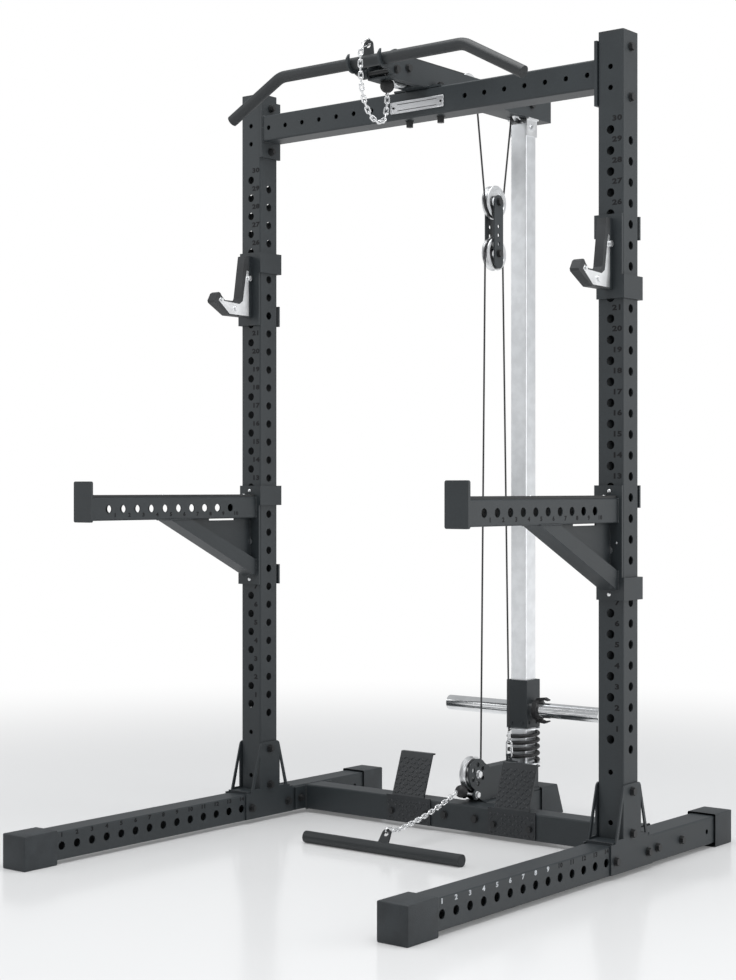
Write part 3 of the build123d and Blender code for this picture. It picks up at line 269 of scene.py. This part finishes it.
by_node = {
    coat: ["left_upright", "right_upright", "left_leg", "right_leg", "saddle_brackets", "base_crossmember",
           "rear_leg", "top_crossbeam", "lat_beam", "bar_storage_hooks", "mast_foot", "low_pulley_bracket",
           "carriage_block", "left_hook_bracket", "right_hook_bracket", "left_spotter_arm",
           "right_spotter_arm", "float_plates"],
    tread_coat: ["footplates"],
    bar_coat: ["lat_bar", "row_bar"],
    cap_rubber: ["foot_caps"],
    ball_rubber: ["lat_ball", "row_ball"],
    hook_plastic: ["upright_caps", "left_hook_liner", "right_hook_liner"],
    strip_plastic: ["left_spotter_strip", "right_spotter_strip"],
    clip_plastic: ["spring_clip"],
    chrome: ["mast", "spring_washers"],
    sleeve_chrome: ["weight_sleeves"],
    zinc: ["mast_top_bracket", "pulley_axles", "left_hook_plates", "right_hook_plates", "left_hook_pin",
           "right_hook_pin", "left_spotter_pin", "right_spotter_pin"],
    chain_zinc: ["lat_chain", "row_chain", "cable_anchor"],
    black_oxide: ["frame_bolts", "float_bolts"],
    spring_coat: ["bumper_spring"],
    plate_metal: ["nameplate"],
    cable_jacket: ["cable_fixed_runs", "upper_cable_falls", "lower_cable_falls", "upper_cable_tail",
                   "float_cable_wraps"],
    nylon: ["slide_liners"],
}
WHEELS = {
    "front_pulley": (0.022, 1.980), "middle_pulley": (0.326, 1.980), "rear_pulley": (0.587, 1.980),
    "low_pulley": (0.349, 0.155), "float_upper_pulley": (0.454, 1.697), "float_lower_pulley": (0.454, 1.557),
}


def dress(name, material):
    mesh = nodes[name].data
    mesh.materials.clear()
    mesh.materials.append(material)


for material, names in by_node.items():
    for name in names:
        dress(name, material)
for name, centre in WHEELS.items():
    dress(name, turned("turned_" + name, centre))


# ---------------------------------------------------------------- sizes shared with the CAD, metres
HOLE_PITCH = 0.05
UPRIGHT_X = 0.575          # centre line of an upright, leg and arm
ARM_HALF = 0.025           # half width of a spotter arm
BRACKET_FACE = 0.098       # front of the bracket that an arm is welded to
CROSS_FACE = 0.288         # front of the bolted part of a footplate
PITCH = 0.042              # wheel centre to the middle of the cable
JACKET = 0.0025            # cable radius
FALL_END = 0.25            # height where the lower cable's straight falls end
SIDES = (("left", -1), ("right", 1))


# ---------------------------------------------------------------- mesh tools
def piece(name, bm, material, body, smooth=True, merge=0.000012):
    """Finished mesh as an object; it rides on a body unless that is None."""
    if merge:
        bmesh.ops.remove_doubles(bm, verts=bm.verts, dist=merge)
    bmesh.ops.recalc_face_normals(bm, faces=bm.faces)
    mesh = bpy.data.meshes.new(name)
    bm.to_mesh(mesh)
    bm.free()
    mesh.materials.append(material)
    for face in mesh.polygons:
        face.use_smooth = smooth
    made = bpy.data.objects.new(name, mesh)
    bpy.context.scene.collection.objects.link(made)
    if body:
        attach(made, body)
    return made


def soften(bm, width, segments=2, edges=None):
    """Rounds the given edges, or all of them."""
    chosen = list(edges if edges is not None else bm.edges)
    bmesh.ops.bevel(bm, geom=chosen, offset=width, offset_type="OFFSET", affect="EDGES",
                    segments=segments, profile=0.5, material=-1, clamp_overlap=True)


def upright_to(direction):
    """Rotation that carries +Z onto a direction."""
    return Vector(direction).to_track_quat("Z", "Y").to_matrix().to_4x4()


def add_dome(bm, place, direction, radius, height):
    """Low button head."""
    turn = Matrix.Translation(place) @ upright_to(direction) @ Matrix.Diagonal((1, 1, height / radius, 1))
    made = bmesh.ops.create_uvsphere(bm, u_segments=14, v_segments=8, radius=radius, matrix=turn)
    low = [v for v in made["verts"] if (v.co - Vector(place)).dot(Vector(direction)) < -height * 0.15]
    bmesh.ops.delete(bm, geom=low, context="VERTS")


# ---------------------------------------------------------------- hole numbers
def numbers(name, entries, size, facing, body, wide=1.3, mark_tone=None):
    """Number marks on a face: entries are (text, centre), facing is the face's outward side."""
    bm = bmesh.new()
    turns = {
        "-Y": Matrix.Rotation(math.radians(90), 4, "X"),
        "+X": Matrix.Rotation(math.radians(90), 4, "Z") @ Matrix.Rotation(math.radians(90), 4, "X"),
        "-X": Matrix.Rotation(math.radians(-90), 4, "Z") @ Matrix.Rotation(math.radians(90), 4, "X"),
    }
    for text, centre in entries:
        font = bpy.data.curves.new("mark", "FONT")
        font.body = text
        font.align_x = "CENTER"
        font.align_y = "CENTER"
        font.size = size * 1.38
        font.space_character = 1.06
        font.extrude = 0.00015
        font.offset = size * 0.062
        font.resolution_u = 2
        source = bpy.data.objects.new("mark", font)
        flat = bpy.data.meshes.new_from_object(source)
        flat.transform(Matrix.Translation(centre) @ turns[facing] @ Matrix.Diagonal((wide, 1, 1, 1)))
        bm.from_mesh(flat)
        bpy.data.objects.remove(source)
        bpy.data.curves.remove(font)
        bpy.data.meshes.remove(flat)
    # the marks' colour is painted: near-black shade inside the cut-out digits, unless a pale painted light
    # is given
    return piece(name, bm, mark_tone or hole_shade_and_print, body, smooth=False, merge=0)


UPRIGHT_MARKS, LEG_MARKS, PALE_LEG_MARKS, ARM_MARKS = 30, 14, 9, 10
for side, sign in SIDES:
    low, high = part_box(side + "_upright")
    middle = (low.x + high.x) / 2
    rows = [(str(k + 1), (middle + 0.018, low.y, 0.322 + HOLE_PITCH * k + 0.0255))
            for k in range(UPRIGHT_MARKS)]
    numbers(side + "_upright_numbers", rows, 0.0125, "-Y", "frame", 1.5)
    low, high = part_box(side + "_leg")
    for facing, x in (("+X", high.x), ("-X", low.x)):
        tag = side + "_leg_numbers_" + ("outer" if (facing[0] == "+") == (sign > 0) else "inner")
        rows = [(str(k + 1), (x, -0.622 + HOLE_PITCH * k, 0.0715)) for k in range(LEG_MARKS)]
        # on the right leg the first nine numbers get pale painted light seen through the cut-outs; all
        # others keep the near-black painted shade
        mark_tone = seen_through_light if sign > 0 else None
        numbers(tag + "_front", rows[:PALE_LEG_MARKS], 0.0105, facing, "frame", mark_tone=mark_tone)
        numbers(tag + "_rear", rows[PALE_LEG_MARKS:], 0.0105, facing, "frame")
    centre = sign * UPRIGHT_X
    for facing, x in (("+X", centre + ARM_HALF), ("-X", centre - ARM_HALF)):
        rows = [(str(k + 1), (x, -0.456 + HOLE_PITCH * k + 0.022, 0.8505)) for k in range(ARM_MARKS)]
        numbers(side + "_arm_numbers_" + facing[1] + ("a" if facing[0] == "+" else "b"), rows, 0.0100,
                facing, side + "_spotter_body")


# ---------------------------------------------------------------- tread on the footplates
def treads(name, sign):
    """Rows of raised lens-shaped bars, alternately leaning left and right."""
    bm = bmesh.new()

    def stud(place, normal, lean):
        flat = Matrix.Translation(place) @ normal @ Matrix.Rotation(lean, 4, "Z")
        bmesh.ops.create_uvsphere(bm, u_segments=8, v_segments=5, radius=1.0,
                                  matrix=flat @ Matrix.Diagonal((0.0060, 0.0020, 0.0015, 1)))

    face = Matrix.Rotation(math.radians(90), 4, "X")
    pitch = 0.0118
    for row in range(5):
        for column in range(12):
            x = sign * (0.1035 + column * pitch)
            z = 0.0205 + row * pitch
            near_bolt = min(math.dist((abs(x), z), (bolt, 0.040)) for bolt in (0.112, 0.224))
            if near_bolt > 0.0165:
                stud((x, CROSS_FACE, z), face, math.radians(45 if (row + column) % 2 else -45))
    rise, run = 0.111, 0.0402
    slope = math.hypot(rise, run)
    tilt = Matrix.Rotation(math.radians(90) - math.atan2(run, rise), 4, "X")
    for row in range(9):
        for column in range(9):
            along = 0.009 + row * pitch
            x = sign * (0.1212 + column * pitch)
            place = (x, CROSS_FACE + run * along / slope - 0.0003, 0.084 + rise * along / slope)
            stud(place, tilt, math.radians(45 if (row + column) % 2 else -45))
    return piece(name, bm, tread_coat, "frame")


treads("left_tread", -1)
treads("right_tread", 1)


# ---------------------------------------------------------------- welds
def weld(bm, start, end, radius=0.0028, step=0.0042):
    """Row of overlapping beads along a joint."""
    a, b = Vector(start), Vector(end)
    count = max(2, int((b - a).length / step))
    turn = upright_to(b - a)
    for k in range(count + 1):
        place = Matrix.Translation(a.lerp(b, k / count)) @ turn
        bmesh.ops.create_icosphere(bm, subdivisions=1, radius=radius,
                                   matrix=place @ Matrix.Diagonal((1, 1, 0.95, 1)))


def spotter_details(side, sign):
    """Welds and small screws of one spotter arm."""
    body = side + "_spotter_body"
    x = sign * UPRIGHT_X
    face = BRACKET_FACE
    bm = bmesh.new()
    for edge in (-ARM_HALF, ARM_HALF):
        weld(bm, (x + edge, face, 0.839), (x + edge, face, 0.894))
        weld(bm, (x + edge, face, 0.680), (x + edge, face, 0.722))
        weld(bm, (x + edge, -0.235, 0.837), (x + edge, -0.157, 0.837))
        weld(bm, (x + edge, -0.515, 0.839), (x + edge, -0.515, 0.894))
    weld(bm, (x - 0.024, face, 0.6775), (x + 0.024, face, 0.6775))
    weld(bm, (x - 0.024, -0.236, 0.8365), (x + 0.024, -0.236, 0.8365))
    weld(bm, (x - 0.024, -0.515, 0.8365), (x + 0.024, -0.515, 0.8365))
    for web in (-0.0025, 0.0025):
        weld(bm, (x + web, face, 0.726), (x + web, face, 0.829), 0.0022)
    piece(side + "_spotter_welds", bm, weld_metal, body)
    bm = bmesh.new()
    for z in (0.912, 0.667):
        add_dome(bm, (x, face, z), (0, -1, 0), 0.0052, 0.0028)
    add_dome(bm, (x + sign * 0.02, face, 0.7895), (0, -1, 0), 0.0028, 0.0015)
    for y in (-0.49, -0.24, 0.075):
        add_dome(bm, (x, y, 0.902), (0, 0, 1), 0.0042, 0.0014)
    piece(side + "_spotter_screws", bm, zinc, body)


def frame_details():
    """Welds of the frame's flanges, gussets and foot."""
    bm = bmesh.new()
    for sign in (-1, 1):
        for z in (0.0105, 0.0795):
            weld(bm, (sign * 0.534, 0.294, z), (sign * 0.534, 0.360, z))
        for y in (0.292, 0.362):
            weld(bm, (sign * 0.534, y, 0.013), (sign * 0.534, y, 0.077))
        for z in (1.8755, 1.9445):
            weld(bm, (sign * 0.532, 0.107, z), (sign * 0.532, 0.173, z))
        for y in (0.105, 0.175):
            weld(bm, (sign * 0.532, y, 1.878), (sign * 0.532, y, 1.942))
        weld(bm, (sign * 0.035, 0.107, 1.950), (sign * 0.035, 0.173, 1.950))
        weld(bm, (sign * 0.017, 0.402, 0.0815), (sign * 0.017, 0.543, 0.0815))
        for y in (0.053, 0.227):
            x = sign * UPRIGHT_X
            weld(bm, (x - 0.034, y, 0.0862), (x + 0.034, y, 0.0862), 0.002)
        weld(bm, (sign * 0.031, 0.569, 0.0865), (sign * 0.031, 0.627, 0.0865))
        weld(bm, (sign * 0.035, 0.368, 0.014), (sign * 0.035, 0.368, 0.076))
    weld(bm, (-0.030, 0.5668, 0.0865), (0.030, 0.5668, 0.0865))
    piece("frame_welds", bm, weld_metal, "frame")


def nameplate_details():
    """Raised rim, two rivets and two fine dark lines; the middle is left blank."""
    rim_width = 0.0016
    low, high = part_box("nameplate")
    middle = (low.z + high.z) / 2
    rim = bmesh.new()
    for x0, x1, z0, z1 in (
            (low.x, high.x, high.z - rim_width, high.z), (low.x, high.x, low.z, low.z + rim_width),
            (low.x, low.x + rim_width, low.z, high.z), (high.x - rim_width, high.x, low.z, high.z)):
        made = bmesh.ops.create_cube(rim, size=1, matrix=Matrix.Translation(
            ((x0 + x1) / 2, low.y, (z0 + z1) / 2)) @ Matrix.Diagonal((x1 - x0, 0.0010, z1 - z0, 1)))
        soften(rim, 0.0003, 1, {e for v in made["verts"] for e in v.link_edges})
    piece("nameplate_rim", rim, plate_metal, "frame")
    lines = bmesh.new()
    for z in (middle - 0.0080, middle + 0.0080):
        bmesh.ops.create_cube(lines, size=1, matrix=Matrix.Translation(
            ((low.x + high.x) / 2, low.y - 0.0001, z)) @
            Matrix.Diagonal((high.x - low.x - 0.044, 0.0004, 0.0012, 1)))
    for x in (low.x + 0.009, high.x - 0.009):
        add_dome(lines, (x, low.y - 0.0004, middle), (0, -1, 0), 0.0030, 0.0018)
    piece("nameplate_lines", lines, hole_shade_and_print, "frame", smooth=False)


for side, sign in SIDES:
    spotter_details(side, sign)
frame_details()
nameplate_details()


# ---------------------------------------------------------------- rubber feet
def foot_cap(bm, x, closed, mouth, slope=0.0):
    """Rounded cup over a tube's end, with a lip at the mouth."""
    low, high = sorted((closed, mouth))
    size = (0.08, high - low, 0.085)
    place = Matrix.Translation((x, (low + high) / 2, 0.0425)) @ Matrix.Diagonal((*size, 1))
    made = bmesh.ops.create_cube(bm, size=1.0, matrix=place)
    verts = set(made["verts"])
    if slope:
        for v in verts:
            if abs(v.co.y - closed) < 0.001 and v.co.z > 0.05:
                v.co.y -= math.copysign(slope, closed - mouth)
    faces = set(f for v in verts for f in v.link_faces)
    open_face = min(faces, key=lambda f: abs(f.calc_center_median().y - mouth))
    bmesh.ops.inset_region(bm, faces=[open_face], thickness=0.0052, depth=0.0)
    bmesh.ops.translate(bm, verts=open_face.verts, vec=(0, 0, 0.0022))
    bmesh.ops.translate(bm, verts=open_face.verts, vec=(0, math.copysign(0.020, closed - mouth), 0))


def feet():
    """The five rubber cups, in place of the CAD ones."""
    bm = bmesh.new()
    for sign in (-1, 1):
        foot_cap(bm, sign * UPRIGHT_X, -0.745, -0.639)
        foot_cap(bm, sign * UPRIGHT_X, 0.646, 0.555)
    foot_cap(bm, 0.0, 0.745, 0.630, slope=0.033)
    soften(bm, 0.0032, 3)
    made = piece("foot_cups", bm, cap_rubber, "frame")
    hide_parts("foot_caps")


feet()


# ---------------------------------------------------------------- straight cables in rings
def stretched_cable(name, start, end, steps, node, body, other, radius=JACKET):
    """Straight cable between two (y, z) points, in rings."""
    a, b = Vector((0, *start)), Vector((0, *end))
    bm = bmesh.new()
    turn = Matrix.Translation(a) @ upright_to(b - a)
    bmesh.ops.create_circle(bm, cap_ends=False, segments=12, radius=radius, matrix=turn)
    ring = list(bm.edges)
    for _ in range(steps):
        made = bmesh.ops.extrude_edge_only(bm, edges=ring)["geom"]
        ring = [g for g in made if isinstance(g, bmesh.types.BMEdge) and all(v in made for v in g.verts)]
        moved = [g for g in made if isinstance(g, bmesh.types.BMVert)]
        bmesh.ops.translate(bm, verts=moved, vec=(b - a) / steps)
    bmesh.ops.holes_fill(bm, edges=[e for e in bm.edges if e.is_boundary], sides=12)
    made = piece(name, bm, cable_jacket, None)
    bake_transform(made)
    if node:
        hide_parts(node)


def crossing(a, b, radius, side):
    """Touch points of the line that crosses between two equal wheels."""
    dy, dz = b[0] - a[0], b[1] - a[1]
    opening = math.acos(2 * radius / math.hypot(dy, dz))
    for sign in (-1, 1):
        heading = math.atan2(dz, dy) + sign * opening
        uy, uz = math.cos(heading), math.sin(heading)
        if uy * side > 0:
            return (a[0] + radius * uy, a[1] + radius * uz), (b[0] - radius * uy, b[1] - radius * uz)


ANCHOR_Y, TAIL_Y = 0.527, 0.629
upper, lower = WHEELS["float_upper_pulley"], WHEELS["float_lower_pulley"]
fall_front = crossing(WHEELS["middle_pulley"], upper, PITCH, 1)
fall_back = crossing(upper, WHEELS["rear_pulley"], PITCH, 1)
fall_low = crossing(lower, WHEELS["low_pulley"], PITCH, -1)
stretched_cable("front_fall", *fall_front, 24, "upper_cable_falls", "frame", "float_block")
stretched_cable("back_fall", fall_back[1], fall_back[0], 24, "upper_cable_falls", "frame", "float_block")
share = (fall_low[0][1] - FALL_END) / (fall_low[0][1] - fall_low[1][1])
low_start = (fall_low[0][0] + (fall_low[1][0] - fall_low[0][0]) * share, FALL_END)
stretched_cable("row_fall", low_start, fall_low[0], 40, "lower_cable_falls", "frame", "float_block")
anchor = (ANCHOR_Y, FALL_END)
reach = math.dist(anchor, lower)
heading = math.atan2(lower[1] - FALL_END, lower[0] - ANCHOR_Y) - math.asin(PITCH / reach)
length = math.sqrt(reach ** 2 - PITCH ** 2)
touch = (ANCHOR_Y + length * math.cos(heading), FALL_END + length * math.sin(heading))
stretched_cable("anchor_fall", anchor, touch, 40, "lower_cable_falls", "frame", "float_block")
stretched_cable("carriage_fall", (TAIL_Y, 1.98), (TAIL_Y, 0.425), 40, "upper_cable_tail", "frame",
                "weight_carriage")
# hidden inside the fixed run at rest
stretched_cable("row_lead", (0.345, 0.113), (0.304, 0.113), 24, None, "frame", "row_handle", JACKET * 0.94)


# ---------------------------------------------------------------- lat bar chain
def soft_chain():
    """Copy of the lat bar's chain that hangs between the bar and the ball's eye."""
    bm = bmesh.new()
    bm.from_mesh(nodes["lat_chain"].data)
    bmesh.ops.remove_doubles(bm, verts=bm.verts, dist=0.00001)
    made = piece("bar_chain", bm, chain_zinc, None)
    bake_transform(made)
    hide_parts("lat_chain")


soft_chain()


# ---------------------------------------------------------------- studio
def stage_plane():
    """Pale glossy floor that fades into the white backdrop."""
    mesh = bpy.data.meshes.new("floor")
    bm = bmesh.new()
    bmesh.ops.create_grid(bm, x_segments=1, y_segments=1, size=30.0)
    bm.to_mesh(mesh)
    bm.free()
    ground = Finish("floor_paint", Base_Color=(0.80, 0.805, 0.81, 1), Specular_IOR_Level=0.4)
    ground.feed("Roughness", 0.14 + ground.noise(0.8, 2.0) * 0.03)
    far = ground.node("ShaderNodeVectorMath", {"operation": "LENGTH"}, {0: ground.place})["Value"]
    white = ground.node("ShaderNodeEmission", {}, {"Color": (1, 1, 1, 1), "Strength": 1.0})["Emission"]
    near_share = 0.12
    mix = ground.node("ShaderNodeMixShader", {}, {
        0: near_share + far.between(1.2, 4.2) * 0.88, 1: Wire(ground, ground.surface.outputs[0]), 2: white})
    ground.join(mix["Shader"], ground.tree.nodes["Material Output"].inputs["Surface"])
    mesh.materials.append(ground.material)
    floor = bpy.data.objects.new("floor", mesh)
    bpy.context.scene.collection.objects.link(floor)


def studio_world():
    """White backdrop for the camera, softer light for everything else."""
    world = bpy.data.worlds.new("studio")
    world.use_nodes = True
    sky = Shader(world.node_tree)
    backdrop = sky.node("ShaderNodeBackground", {}, {"Color": (1, 1, 1, 1), "Strength": 1.0})
    ambient = sky.node("ShaderNodeBackground", {}, {"Color": (0.97, 0.985, 1.0, 1), "Strength": 0.50})
    seen = sky.node("ShaderNodeLightPath", {}, {})["Is Camera Ray"]
    mix = sky.node("ShaderNodeMixShader", {}, {0: seen, 1: ambient[0], 2: backdrop[0]})
    sky.join(mix[0], world.node_tree.nodes["World Output"].inputs["Surface"])
    bpy.context.scene.world = world


def soft_light(name, place, target, size, power):
    """White rectangular lamp turned to face a target."""
    data = bpy.data.lights.new(name, "AREA")
    data.shape = "RECTANGLE"
    data.size, data.size_y = size
    data.energy = power
    lamp = bpy.data.objects.new(name, data)
    lamp.location = place
    lamp.rotation_euler = (Vector(target) - Vector(place)).to_track_quat("-Z", "Y").to_euler()
    bpy.context.scene.collection.objects.link(lamp)


stage_plane()
studio_world()
soft_light("top", (0.6, -0.6, 4.6), (0, 0.1, 0.0), (4.0, 4.0), 190)
soft_light("right", (4.4, 2.4, 1.8), (0, 0.1, 1.0), (3.0, 3.4), 70)
soft_light("left", (-3.8, -2.6, 2.6), (0, 0.2, 1.0), (2.0, 2.0), 22)

bpy.context.scene.view_settings.view_transform = "Standard"
